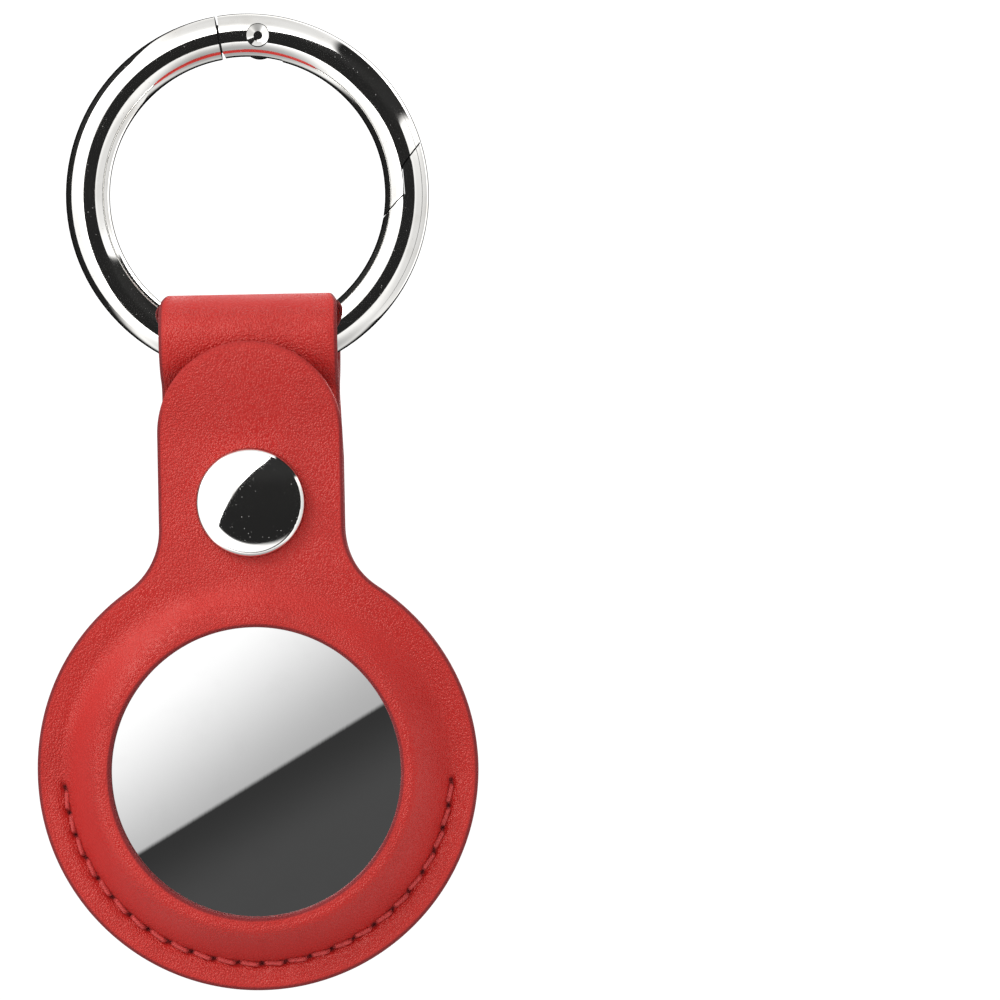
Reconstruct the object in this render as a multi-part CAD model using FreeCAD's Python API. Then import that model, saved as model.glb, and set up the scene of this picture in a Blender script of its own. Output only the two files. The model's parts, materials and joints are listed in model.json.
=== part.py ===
import FreeCAD, Part
import math
import os

V = FreeCAD.Vector
os.makedirs("parts", exist_ok=True)

# Lengths are millimetres. The ring's centre is the origin, +Z is up and the window faces -Y.
overrun = 30.0
half_share = 0.5

# Ring, gate and latch
ring_bore_r = 12.5
wire_r = 2.0
split_deg = 98.9
split_frame_deg = 0.45
split_gate_deg = 0.45
split_sweep_gap = 0.07
latch_outer_reach = 1.6
latch_step_in = 0.2
latch_inner_reach = 1.9
latch_outer_deg = 14.8
latch_high_deg = 8.8
latch_low_deg = -1.0
latch_inner_deg = -9.7
latch_gap = 0.12
latch_lift_share = 0.4
latch_reach_share = 3.0
zone_depth = 6.5

# Hinge of the gate
pin_r = 0.6
pin_inset = 0.1
pin_deg = 84.8
pin_play = 0.05
pin_bore_r = 0.4
pin_head_r = 1.18
pin_flare_r = 1.07
pin_head_seat = 1.55
pin_proud = 0.06
tongue_thick = 1.3
tongue_play = 0.1
tongue_rise = 1.1
tongue_drop = 1.3
tongue_root = 5.3
tongue_roof_gap = 0.15
knuckle_r = 1.6
knuckle_throw = 0.4
knuckle_deg = -80.0
knuckle_gap = 0.12
gate_open_deg = 25.0

# Spring and plunger inside the gate
bore_deg = -12.0
bore_r = 0.75
bore_end = 7.0
plunger_r = 0.7
plunger_len = 2.0
plunger_gap = 0.04
spring_wire_r = 0.1
spring_r = 0.52
spring_pitch = 0.7

# Leather
leather = 1.0
seam_gap = 0.1
strap_half = 8.05
neck_half = 8.3
tab_half = 8.35
taper_len = 5.8
loop_play = 0.06
loop_bend_r = 2.0
strap_end_below_snap = 5.2
strap_corner = 1.5
tab_top_above_wire = 3.1

# Body, tag pocket and window
neck_fillet_r = 6.6
window_lap = 0.4
fold_below_body = 0.6
fold_gap = 0.2
bump_foot_clear = 1.15
bump_shoulder = 1.1
bump_spread_share = 0.6
tag_play = 0.15
ramp_steps = 8

# Lift of the flap over the snap and the strap loop
flap_start_below_fold = 1.1
flap_level_below_snap = 5.05
flap_level_above_snap = 5.45
flap_top_gap = 0.1
flap_edge = 1.0
flap_grid = 1.1

# Seam
seam_beyond_bump = 0.7
seam_below_fold = 0.75
seam_margin = 2.2
stitch_count = 24
thread_r = 0.28
thread_seat = 0.01
stitch_hole_play = 0.06

# Snap fastener
snap_below_wire = 11.45
snap_above_bump = 7.15
snap_height = 2.2
cap_r = 4.9
cap_height = 2.2
cap_shoulder_r = 4.45
cap_shoulder_height = 1.35
cap_shoulder_mid_r = 4.79
cap_shoulder_mid_height = 1.14
cap_wall = 0.3
cap_edge_height = 0.75
cap_seat = 0.05
curl_r = 4.0
post_r = 1.5
post_wall = 0.4
post_play = 0.05
flange_thick = 0.35
flange_play = 0.03
stud_base_r = 3.3
stud_base_thick = 0.4
stud_neck_r = 1.85
stud_neck_height = 0.85
stud_head_r = 2.05
stud_head_low = 1.2
stud_head_high = 1.4
stud_crown_r = 1.6
stud_height = 1.6
stud_crown_wall = 0.35
socket_r = 3.9
socket_base_thick = 0.3
socket_bore_r = 2.6
socket_lip_r = 2.35
socket_lip_thick = 0.3
socket_height = 1.6
socket_seat = 0.02
grip_wire_r = 0.2
grip_play = 0.06
grip_above_lip = 0.3
grip_leg = 0.35
post_flare_r = 1.9
post_flare_thick = 0.12

# Tracker
tag_r = 15.95
tag_half_thick = 4.0
tag_edge = 2.95
tag_edge_steps = 10
cover_lap = 0.3
cover_thick = 0.5
cover_play = 0.1
cover_skirt_inset = 0.6
cover_skirt_wall = 0.5
cover_skirt_len = 1.7
lug_reach = 0.4
lug_thick = 0.5
lug_deg = 24.0
lug_count = 3
ledge_thick = 0.8
ledge_gap = 0.1
lug_groove_height = 0.9
shell_wall = 1.75
cavity_floor = 2.8
tray_clear = 1.3
cell_thick = 3.2
cell_gap = 0.3
cell_step_in = 1.8
cell_step = 0.4
tray_wall = 0.7
tray_floor = 0.5
tray_play = 0.2
tray_wall_height = 3.0
contact_gap = 0.04
contact_len_share = 0.45
contact_width = 1.4
contact_orbit_share = 0.55
contact_count = 3
board_gap = 0.1
board_thick = 0.8
board_hole_r = 5.4
board_play = 0.6
chip_height = 0.7
chip_count = 6
chip_side = 3.0
chip_inset = 4.0
chip_shrink_share = 0.12
magnet_r = 4.4
magnet_thick = 1.3
coil_wall = 0.4
coil_gap = 0.3
coil_len = 1.4
antenna_wall = 0.4
antenna_height = 1.7

# Sizes that follow from the ones above
ring_r = ring_bore_r + wire_r
pin_orbit_r = ring_r - pin_inset
zone_near_r = ring_r - zone_depth
latch_outer_r = ring_r + latch_outer_reach
latch_step_r = ring_r - latch_step_in
latch_inner_r = ring_r - latch_inner_reach
tag_flat_r = tag_r - tag_edge
cover_r = tag_flat_r + cover_lap
cover_skirt_r = cover_r - cover_skirt_inset
cavity_r = tag_r - shell_wall
board_r = cavity_r - board_play
chip_orbit_r = board_r - chip_inset
cell_r = cover_skirt_r - cover_skirt_wall - tray_clear - tray_wall - tray_play
cell_step_r = cell_r - cell_step_in
contact_len = cell_r * contact_len_share
contact_orbit_r = cell_r * contact_orbit_share
window_r = cover_r - window_lap
bump_foot_r = tag_r + bump_foot_clear
bump_top_r = tag_flat_r + bump_shoulder
seam_r = bump_foot_r + seam_beyond_bump
body_r = seam_r + seam_margin
wire_low_z = -(ring_r + wire_r)
snap_z = wire_low_z - snap_below_wire
body_z = snap_z - bump_foot_r - snap_above_bump
fold_z = body_z - fold_below_body
rim_in = seam_gap * half_share
rim_out = rim_in + leather
bump_height = tag_half_thick + tag_play - rim_in
bump_spread = leather * bump_spread_share
panel_out = rim_in + bump_height + leather
tab_back = rim_out + snap_height
tab_lift = tab_back - rim_in
tab_top_z = wire_low_z + tab_top_above_wire
wire_top_z = -math.sqrt(ring_bore_r ** 2 - strap_half ** 2)
swing_z = (wire_top_z + wire_low_z) * half_share
loop_r = (wire_top_z - wire_low_z) * half_share + loop_play
loop_join_z = swing_z - math.sqrt((loop_r + loop_bend_r) ** 2 - (loop_bend_r + rim_in) ** 2)
strap_end_z = snap_z - strap_end_below_snap
stitch_hole_r = thread_r + stitch_hole_play
post_hole_r = post_r + post_play
cover_back = -tag_half_thick + cover_thick
cell_front = cover_back + cell_gap
cell_back = cell_front + cell_thick
tray_back = cell_back + tray_play + tray_floor
board_back = tray_back + board_gap + board_thick


def polar(r, deg, y=0.0):
    """A point at a radius and an angle from +X in the ring's plane."""
    return V(r * math.cos(math.radians(deg)), y, r * math.sin(math.radians(deg)))


pin_at = polar(pin_orbit_r, pin_deg)
knuckle_at = pin_at + polar(knuckle_throw, knuckle_deg)
knuckle_open = pin_at + polar(knuckle_throw, knuckle_deg + gate_open_deg)
bore_axis = polar(1, bore_deg)
bore_at = (knuckle_at + knuckle_open) * half_share
plunger_start = (knuckle_at - bore_at).dot(bore_axis) + knuckle_r + plunger_gap
plunger_travel = (knuckle_open - knuckle_at).dot(bore_axis)


def rod(r, y_from, y_to, x=0.0, z=0.0):
    """A cylinder along Y."""
    return Part.makeCylinder(r, y_to - y_from, V(x, y_from, z), V(0, 1, 0))


def tube(r_in, r_out, y_from, y_to, z):
    return rod(r_out, y_from, y_to, 0, z).cut(rod(r_in, y_from - overrun, y_to + overrun, 0, z))


def block(x_from, x_to, y_from, y_to, z_from, z_to):
    return Part.makeBox(x_to - x_from, y_to - y_from, z_to - z_from, V(x_from, y_from, z_from))


def plate(wire, y_from, y_to):
    """An outline in the XZ plane made into a flat solid."""
    solid = Part.Face(wire).extrude(V(0, y_to - y_from, 0))
    solid.translate(V(0, y_from, 0))
    return solid


def turned(edges, z):
    """A section of edges, drawn with radius along X, turned about an axis along Y."""
    return Part.Face(Part.Wire(edges)).revolve(V(0, 0, z), V(0, 1, 0), 360)


def line(a, b):
    return Part.LineSegment(a, b).toShape()


def lines(points):
    """Straight edges through the points in order."""
    return [line(a, b) for a, b in zip(points, points[1:])]


def arc(a, b, c):
    return Part.Arc(a, b, c).toShape()


def curve(points):
    spline = Part.BSplineCurve()
    spline.interpolate(points)
    return spline.toShape()


def smooth(share):
    """A soft step from 0 to 1."""
    share = min(max(share, 0), 1)
    return share * share * (3 - 2 * share)


def save(shape, name):
    shape.exportStep("parts/" + name + ".step")
    print(name, len(shape.Solids), shape.isValid(), round(shape.Volume, 3))


def gate_zone(side):
    """The part of the ring that belongs to the gate: side 1 is the frame's cut, -1 is the gate itself."""
    nudge = latch_gap * half_share * side
    shift = V(nudge, 0, -nudge * latch_lift_share)
    high = polar(latch_step_r, latch_high_deg)
    low = polar(latch_step_r, latch_low_deg)
    outer = high + (polar(latch_outer_r, latch_outer_deg) - high) * latch_reach_share
    inner = low + (polar(latch_inner_r, latch_inner_deg) - low) * latch_reach_share
    split = split_deg + split_frame_deg if side > 0 else split_deg - split_gate_deg
    points = [polar(zone_near_r, split), polar(overrun, split), V(overrun, 0, overrun)]
    points += [p + shift for p in (outer, high, low, inner)]
    return plate(Part.makePolygon(points + points[:1]), -overrun, overrun)


def ring_torus():
    return Part.makeTorus(ring_r, wire_r, V(0, 0, 0), V(0, 1, 0))


def ring_frame():
    half = tongue_thick * half_share
    low = pin_at.z - tongue_drop
    high = pin_at.z + tongue_rise
    tongue = block(pin_at.x - tongue_root, pin_at.x, -half, half, low, high)
    knuckle = rod(knuckle_r, -half, half, knuckle_at.x, knuckle_at.z)
    solid = ring_torus().cut(gate_zone(1)).fuse([tongue, knuckle]).removeSplitter()
    return solid.cut(rod(pin_r + pin_play, -overrun, overrun, pin_at.x, pin_at.z))


def gate_slot():
    """The room in the gate for the frame's tongue and knuckle, open towards the ring's inside."""
    half = tongue_thick * half_share + tongue_play
    far = knuckle_r + knuckle_throw + knuckle_gap
    roof = pin_at.z + tongue_rise + tongue_roof_gap
    left = block(pin_at.x - overrun, pin_at.x, -half, half, zone_near_r, roof)
    right = block(pin_at.x - far, pin_at.x + far, -half, half, zone_near_r, pin_at.z)
    round_r = knuckle_r + knuckle_gap
    rounds = [rod(round_r, -half, half, p.x, p.z) for p in (pin_at, knuckle_at, knuckle_open)]
    return left.fuse([right] + rounds)


def gate_end_trim():
    """What is taken off the gate's end below the pin, so that it turns clear of the frame."""
    face = pin_orbit_r * math.sin(math.radians(split_deg + split_frame_deg - pin_deg))
    corner = block(pin_at.x - overrun, pin_at.x, -overrun, overrun, zone_near_r, pin_at.z)
    return corner.cut(rod(face - split_sweep_gap, -overrun, overrun, pin_at.x, pin_at.z))


def along_bore(r, start, length):
    return Part.makeCylinder(r, length, bore_at + bore_axis * start, bore_axis)


def ring_gate():
    solid = ring_torus().common(gate_zone(-1)).cut(gate_slot()).cut(gate_end_trim())
    solid = solid.cut(along_bore(bore_r, plunger_start, bore_end - plunger_start))
    solid = solid.cut(rod(pin_r, -overrun, overrun, pin_at.x, pin_at.z))
    solid = solid.cut(rod(pin_flare_r, -overrun, -pin_head_seat, pin_at.x, pin_at.z))
    return solid.cut(rod(pin_head_r, pin_head_seat, overrun, pin_at.x, pin_at.z))


def hinge_pin():
    """A tubular rivet: flared and hollow at the front, flush at the back."""
    flush = Part.makeTorus(ring_r, wire_r + pin_proud, V(0, 0, 0), V(0, 1, 0))
    head = rod(pin_head_r, pin_head_seat, overrun, pin_at.x, pin_at.z)
    shank = rod(pin_r, -pin_head_seat, pin_head_seat, pin_at.x, pin_at.z)
    front = -(wire_r + pin_proud)
    flare = rod(pin_flare_r, front, -pin_head_seat, pin_at.x, pin_at.z)
    solid = flush.common(head).fuse([shank, flare]).removeSplitter()
    hollow = rod(pin_bore_r, -overrun, -pin_head_seat, pin_at.x, pin_at.z)
    mouth = Part.makeCone(pin_flare_r - pin_proud, pin_bore_r, wire_r - pin_head_seat,
                          V(pin_at.x, front, pin_at.z), V(0, 1, 0))
    return solid.cut(hollow.fuse(mouth))


def gate_plunger():
    return along_bore(plunger_r, plunger_start, plunger_len)


def gate_spring():
    start = plunger_start + plunger_len + plunger_travel + plunger_gap + spring_wire_r
    height = bore_end - plunger_gap - spring_wire_r - start
    helix = Part.makeLongHelix(spring_pitch, height, spring_r)
    section = Part.Wire(Part.makeCircle(spring_wire_r, V(spring_r, 0, 0), V(0, 1, 0)))
    coil = Part.Wire(helix).makePipeShell([section], True, True)
    coil.rotate(V(0, 0, 0), V(0, 1, 0), 90 - bore_deg)
    coil.translate(bore_at + bore_axis * start)
    return coil


def body_outline(half, top_half, top_z, round_top):
    """Round body with a neck: the neck runs up to a square end, or to a round one."""
    reach = body_r + neck_fillet_r
    fillet_x = half + neck_fillet_r
    fillet_z = body_z + math.sqrt(reach ** 2 - fillet_x ** 2)
    meet = V(fillet_x, 0, fillet_z - body_z) * (body_r / reach)
    centre = V(fillet_x, 0, fillet_z)
    mid = centre + (V(-1, 0, 0) - (centre - V(0, 0, body_z)) / reach).normalize() * neck_fillet_r
    right = [V(meet.x, 0, body_z + meet.z), mid, V(half, 0, fillet_z)]
    left = [V(-p.x, 0, p.z) for p in right]
    shoulder = V(half, 0, top_z - top_half if round_top else top_z - taper_len)
    top = V(top_half, 0, shoulder.z if round_top else top_z)
    edges = [arc(left[0], V(0, 0, body_z - body_r), right[0]), arc(*right)]
    edges += lines([right[2], shoulder] if round_top else [right[2], shoulder, top])
    flip = [V(-p.x, 0, p.z) for p in (top, shoulder)]
    if round_top:
        edges.append(arc(top, V(0, 0, top_z), flip[0]))
    else:
        edges.append(line(top, flip[0]))
    edges += lines([flip[1], left[2]] if round_top else [flip[0], flip[1], left[2]])
    edges.append(arc(*reversed(left)))
    return Part.Wire(edges)


def ramp(side, spread, lift):
    """The soft slope of the tag bump, from its foot to its top."""
    points = []
    for step in range(ramp_steps + 1):
        share = step / ramp_steps
        r = bump_foot_r + spread - share * (bump_foot_r - bump_top_r)
        points.append(V(r, side * (rim_in + lift + bump_height * smooth(share)), body_z))
    return points


def bump_shell(side, hole_r):
    """A round panel with its bump, open in the middle by the radius of a hole."""
    inner = ramp(side, 0, 0)
    outer = ramp(side, bump_spread, leather)
    rim = [V(body_r, p.y, body_z) for p in (inner[0], outer[0])]
    middle = [V(hole_r, p.y, body_z) for p in (outer[-1], inner[-1])]
    edges = [curve(inner), curve(outer)]
    edges += lines([inner[0], rim[0], rim[1], outer[0]])
    edges += lines([outer[-1], middle[0], middle[1], inner[-1]])
    return turned(Part.__sortEdges__(edges), body_z)


def stitch_places():
    """Centres of the stitch holes, from the left end of the seam to the right."""
    end_deg = math.degrees(math.asin((fold_below_body + seam_below_fold) / seam_r))
    first = 180 + end_deg
    step = (180 - 2 * end_deg) / stitch_count
    return [polar(seam_r, first + step * n) + V(0, 0, body_z) for n in range(stitch_count + 1)]


def stitch_holes(y_from, y_to):
    return Part.makeCompound([rod(stitch_hole_r, y_from, y_to, p.x, p.z) for p in stitch_places()])


def strap_loop():
    """The strap's fold round the ring and its end behind the snap, drawn from the side."""
    r_out = loop_r + leather
    bend = loop_bend_r - leather
    swing = V(0, 0, swing_z)
    edges = []
    ends = {}
    for name, r, b in (("in", loop_r, loop_bend_r), ("out", r_out, bend)):
        centre = V(0, loop_bend_r + rim_in, loop_join_z)
        slope = (centre - swing).normalize()
        touch = swing + slope * r
        foot = V(0, centre.y - b, loop_join_z)
        mid = centre + ((touch - centre).normalize() + V(0, -1, 0)).normalize() * b
        for side in (1, -1):
            flip = [V(0, p.y * side, p.z) for p in (touch, mid, foot)]
            edges.append(arc(*flip))
            ends[name, side] = flip
        edges.append(arc(ends[name, 1][0], V(0, 0, swing_z + r), ends[name, -1][0]))
    edges.append(line(ends["in", 1][2], ends["out", 1][2]))
    edges.append(line(ends["in", -1][2], ends["out", -1][2]))
    section = Part.Face(Part.Wire(Part.__sortEdges__(edges)))
    loop = section.extrude(V(strap_half * 2, 0, 0))
    loop.translate(V(-strap_half, 0, 0))
    corner = strap_half - strap_corner
    low = strap_end_z + strap_corner
    right = [V(strap_half, 0, loop_join_z), V(strap_half, 0, low), V(corner, 0, strap_end_z)]
    left = [V(-p.x, 0, p.z) for p in reversed(right)]
    end = plate(Part.makePolygon(right + left + right[:1]), -rim_out, -rim_in)
    return loop.fuse(end)


def back_panel():
    neck = plate(body_outline(neck_half, strap_half, loop_join_z, False), rim_in, rim_out)
    neck = neck.cut(rod((bump_foot_r + body_r) * half_share + bump_spread, -overrun, overrun, 0, body_z))
    solid = bump_shell(1, 0).fuse([neck, strap_loop()]).removeSplitter()
    solid = solid.cut(rod(post_hole_r, -overrun, overrun, 0, snap_z))
    return solid.cut(stitch_holes(-overrun, overrun))


def front_panel():
    below = block(-overrun, overrun, -overrun, overrun, body_z - overrun, fold_z - fold_gap * half_share)
    return bump_shell(-1, window_r).common(below).cut(stitch_holes(-overrun, overrun))


def flap_level(x, z, spread):
    """How far in front of the seam plane the flap's inner face lies, for the slope widened by a spread."""
    start = fold_z - flap_start_below_fold
    rise = (z - start) / (snap_z - flap_level_below_snap - start)
    level = tab_lift * smooth(rise)
    over_snap = snap_z + flap_level_above_snap
    top_lift = loop_r + leather + flap_top_gap - tab_back
    level += top_lift * smooth((z - over_snap) / (tab_top_z - flap_edge - over_snap))
    r = math.hypot(x, z - body_z)
    bump = smooth((bump_foot_r + spread - r) / (bump_foot_r - bump_top_r))
    return rim_in + level + bump * max(bump_height - level, 0)


def flap_skin(spread, lift):
    """One face of the flap, as a smooth surface through a grid of points."""
    wide = body_r + flap_edge
    low = fold_z - flap_edge
    high = tab_top_z + flap_edge
    columns = round(2 * wide / flap_grid)
    rows = round((high - low) / flap_grid)
    grid = []
    for row in range(rows + 1):
        z = low + (high - low) * row / rows
        xs = [wide * (2 * n / columns - 1) for n in range(columns + 1)]
        grid.append([V(x, -flap_level(x, z, spread) - lift, z) for x in xs])
    surface = Part.BSplineSurface()
    surface.interpolate(grid)
    return surface.toShape()


def front_flap():
    ahead = V(0, -overrun, 0)
    sheet = flap_skin(0, 0).extrude(ahead).cut(flap_skin(bump_spread, leather).extrude(ahead))
    above = block(-overrun, overrun, -overrun, overrun, fold_z + fold_gap * half_share, overrun)
    outline = plate(body_outline(tab_half, tab_half, tab_top_z, True), -overrun, overrun).common(above)
    solid = sheet.common(outline).cut(rod(window_r, -overrun, overrun, 0, body_z))
    return solid.cut(rod(post_hole_r, -overrun, overrun, 0, snap_z))


def thread(side):
    """One thread of the lockstitch: a stitch between each two holes and a leg down each hole."""
    y = side * (rim_out + thread_seat + thread_r)
    places = [V(p.x, y, p.z) for p in stitch_places()]
    pieces = [Part.makeSphere(thread_r, p) for p in places]
    leg = abs(y) - thread_seat
    pieces += [Part.makeCylinder(thread_r, leg, p, V(0, -side, 0)) for p in places]
    for a, b in zip(places, places[1:]):
        pieces.append(Part.makeCylinder(thread_r, (b - a).Length, a, b - a))
    return pieces[0].fuse(pieces[1:]).removeSplitter()


def snap_point(r, face, side, height):
    return V(r, face + side * height, snap_z)


def dome_drop(shoulder_r):
    """How far a round dome has fallen halfway out to its shoulder."""
    drop = cap_height - cap_shoulder_height
    dome_r = (shoulder_r ** 2 + drop ** 2) / (2 * drop)
    return dome_r - math.sqrt(dome_r ** 2 - (shoulder_r * half_share) ** 2)


def cap(face, side):
    """A domed cap with its edge curled in over the post's flange."""
    def at(r, height):
        return snap_point(r, face, side, height)
    inner_r = cap_r - cap_wall
    seat = cap_seat + cap_wall
    under_r = cap_shoulder_r - cap_wall
    crown = at(cap_shoulder_r * half_share, cap_height - dome_drop(cap_shoulder_r))
    edges = [arc(at(0, cap_height), crown, at(cap_shoulder_r, cap_shoulder_height))]
    shoulder = at(cap_shoulder_mid_r, cap_shoulder_mid_height)
    edge = at(cap_r, cap_edge_height)
    edges.append(arc(at(cap_shoulder_r, cap_shoulder_height), shoulder, edge))
    rim = [edge, at(cap_r, cap_seat), at(curl_r, cap_seat), at(curl_r, seat)]
    rim += [at(inner_r, seat), at(inner_r, cap_edge_height), at(under_r, cap_shoulder_height - cap_wall)]
    edges += lines(rim)
    inside = at(under_r * half_share, cap_height - cap_wall - dome_drop(under_r))
    edges.append(arc(at(under_r, cap_shoulder_height - cap_wall), inside, at(0, cap_height - cap_wall)))
    edges.append(line(at(0, cap_height - cap_wall), at(0, cap_height)))
    return turned(edges, snap_z)


def snap_post(face, side, end_height, flare_r):
    """A flanged tube that goes through the leather and is rolled over at its end."""
    low = cap_seat + cap_wall + flange_play
    high = low + flange_thick
    flange_r = cap_r - cap_wall - flange_play
    tip = -end_height
    bore = post_r - post_wall
    profile = [(0, high), (flange_r, high), (flange_r, low), (post_r, low)]
    if flare_r > post_r:
        profile += [(post_r, tip + post_flare_thick), (flare_r, tip + post_flare_thick)]
    profile += [(flare_r, tip), (bore, tip), (bore, low), (0, low)]
    points = [snap_point(r, face, side, h) for r, h in profile]
    return turned(lines(points + points[:1]), snap_z)


def back_post():
    return snap_post(rim_out, 1, leather * 2 + seam_gap + stud_base_thick, post_r)


def front_post():
    base = socket_seat + socket_base_thick
    return snap_post(-tab_back - leather, -1, leather + base + post_flare_thick + post_play, post_flare_r)


def snap_stud():
    """The male half: a base against the strap end and a hollow head."""
    inside = stud_height - stud_crown_wall
    profile = [(post_hole_r, 0), (stud_base_r, 0), (stud_base_r, stud_base_thick)]
    profile += [(stud_neck_r, stud_base_thick), (stud_neck_r, stud_neck_height)]
    profile += [(stud_head_r, stud_head_low), (stud_head_r, stud_head_high)]
    profile += [(stud_crown_r, stud_height), (0, stud_height), (0, inside), (post_hole_r, inside)]
    points = [snap_point(r, -rim_out - socket_seat, -1, h) for r, h in profile]
    return turned(lines(points + points[:1]), snap_z)


def snap_socket():
    """The female half: a cup against the back of the tab, with a lip that keeps the spring in."""
    lip = socket_height - socket_lip_thick
    profile = [(post_hole_r, 0), (socket_r, 0), (socket_r, socket_height), (socket_lip_r, socket_height),
               (socket_lip_r, lip), (socket_bore_r, lip), (socket_bore_r, socket_base_thick),
               (post_hole_r, socket_base_thick)]
    points = [snap_point(r, -tab_back + socket_seat, 1, h) for r, h in profile]
    return turned(lines(points + points[:1]), snap_z)


def socket_spring():
    """A bent wire that grips the stud from both sides."""
    r = stud_head_r + grip_play + grip_wire_r
    y = -tab_back + socket_seat + socket_height - socket_lip_thick - grip_above_lip
    left = V(-r, y, snap_z)
    right = V(r, y, snap_z)
    down = V(0, 0, -grip_leg)
    bend = arc(left, V(0, y, snap_z + r), right)
    path = Part.Wire([line(left + down, left), bend, line(right, right + down)])
    section = Part.Wire(Part.makeCircle(grip_wire_r, left + down, V(0, 0, 1)))
    return path.makePipeShell([section], True, False)


def tag_points(sections):
    return [V(r, y, body_z) for r, y in sections]


def tag_turned(sections):
    points = tag_points(sections)
    return turned(lines(points + points[:1]), body_z)


def around_tag(shape, count):
    """Copies of a piece set out evenly round the tracker's axis."""
    copies = []
    for n in range(count):
        copy = shape.copy()
        copy.rotate(V(0, 0, body_z), V(0, 1, 0), 360 * n / count)
        copies.append(copy)
    return copies


def tag_housing():
    """The round shell of the tracker, open at the front for its cover."""
    edge = []
    for step in range(tag_edge_steps + 1):
        turn = math.pi * (step / tag_edge_steps - half_share)
        edge.append((tag_flat_r + (tag_r - tag_flat_r) * math.cos(turn), tag_half_thick * math.sin(turn)))
    front, back = edge[0], edge[-1]
    edges = [curve(tag_points(edge))] + lines(tag_points([back, (0, back[1]), (0, front[1]), front]))
    solid = turned(edges, body_z)
    ledge_top = cover_back + ledge_gap
    ledge_low = ledge_top + ledge_thick
    groove_low = ledge_low + lug_groove_height
    ledge_r = cover_skirt_r + cover_play
    solid = solid.cut(rod(cover_r + cover_play, -overrun, ledge_top, 0, body_z))
    solid = solid.cut(rod(ledge_r, -overrun, ledge_low, 0, body_z))
    solid = solid.cut(rod(ledge_r + lug_reach, ledge_low, groove_low, 0, body_z))
    return solid.cut(rod(cavity_r, groove_low, cavity_floor, 0, body_z))


def tag_cover():
    """The polished disc with a skirt and three bayonet lugs."""
    skirt_back = cover_back + cover_skirt_len
    inner = cover_skirt_r - cover_skirt_wall
    solid = tag_turned([(0, -tag_half_thick), (cover_r, -tag_half_thick), (cover_r, cover_back),
                        (cover_skirt_r, cover_back), (cover_skirt_r, skirt_back), (inner, skirt_back),
                        (inner, cover_back), (0, cover_back)])
    lug_low = skirt_back - lug_thick
    lug_r = cover_skirt_r + lug_reach
    section = tag_points([(inner, lug_low), (lug_r, lug_low), (lug_r, skirt_back), (inner, skirt_back)])
    edges = lines(section + section[:1])
    lug = Part.Face(Part.Wire(edges)).revolve(V(0, 0, body_z), V(0, 1, 0), lug_deg)
    return solid.fuse(around_tag(lug, lug_count)).removeSplitter()


def coin_cell():
    step = cell_back - cell_step
    return tag_turned([(0, cell_front), (cell_r, cell_front), (cell_r, step), (cell_step_r, step),
                       (cell_step_r, cell_back), (0, cell_back)])


def battery_tray():
    inner = cell_r + tray_play
    floor = tray_back - tray_floor
    flange = cavity_r - tray_play
    return tag_turned([(0, tray_back), (flange, tray_back), (flange, floor), (inner + tray_wall, floor),
                       (inner + tray_wall, floor - tray_wall_height), (inner, floor - tray_wall_height),
                       (inner, floor), (0, floor)])


def battery_contacts():
    floor = tray_back - tray_floor - contact_gap
    half = contact_width * half_share
    leaf = block(contact_orbit_r - contact_len * half_share, contact_orbit_r + contact_len * half_share,
                 cell_back + contact_gap, floor, body_z - half, body_z + half)
    return Part.makeCompound(around_tag(leaf, contact_count))


def circuit_board():
    return tube(board_hole_r, board_r, tray_back + board_gap, board_back, body_z)


def board_chips():
    chips = []
    for n in range(chip_count):
        side = chip_side * (1 - chip_shrink_share * n) * half_share
        chip = block(chip_orbit_r - side, chip_orbit_r + side, board_back, board_back + chip_height,
                     body_z - side, body_z + side)
        chip.rotate(V(0, 0, body_z), V(0, 1, 0), 360 * n / chip_count)
        chips.append(chip)
    return Part.makeCompound(chips)


def speaker_magnet():
    return rod(magnet_r, tray_back, tray_back + magnet_thick, 0, body_z)


def voice_coil():
    inner = magnet_r + coil_gap
    return tube(inner, inner + coil_wall, cavity_floor - coil_len, cavity_floor, body_z)


def antenna_ring():
    outer = cavity_r - tray_play * half_share
    return tube(outer - antenna_wall, outer, cavity_floor - antenna_height, cavity_floor, body_z)


save(ring_frame(), "ring_frame")
save(ring_gate(), "ring_gate")
save(hinge_pin(), "hinge_pin")
save(gate_plunger(), "gate_plunger")
save(gate_spring(), "gate_spring")
save(back_panel(), "back_panel")
save(front_panel(), "front_panel")
save(front_flap(), "front_flap")
save(thread(-1), "needle_thread")
save(thread(1), "bobbin_thread")
save(cap(rim_out, 1), "back_cap")
save(cap(-tab_back - leather, -1), "front_cap")
save(back_post(), "back_post")
save(front_post(), "front_post")
save(snap_stud(), "snap_stud")
save(snap_socket(), "snap_socket")
save(socket_spring(), "socket_spring")
save(tag_housing(), "tag_housing")
save(tag_cover(), "tag_cover")
save(coin_cell(), "coin_cell")
save(battery_tray(), "battery_tray")
save(battery_contacts(), "battery_contacts")
save(circuit_board(), "circuit_board")
save(board_chips(), "board_chips")
save(speaker_magnet(), "speaker_magnet")
save(voice_coil(), "voice_coil")
save(antenna_ring(), "antenna_ring")
print("swing_z", swing_z, "fold", -panel_out, fold_z, "pin", pin_at, "travel", plunger_travel, bore_axis)
print("loop_r", loop_r, "join", loop_join_z, "tab_back", tab_back, "back face", panel_out)
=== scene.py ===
import json
import math

import bmesh
import bpy
from mathutils import Matrix, Vector, noise


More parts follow.
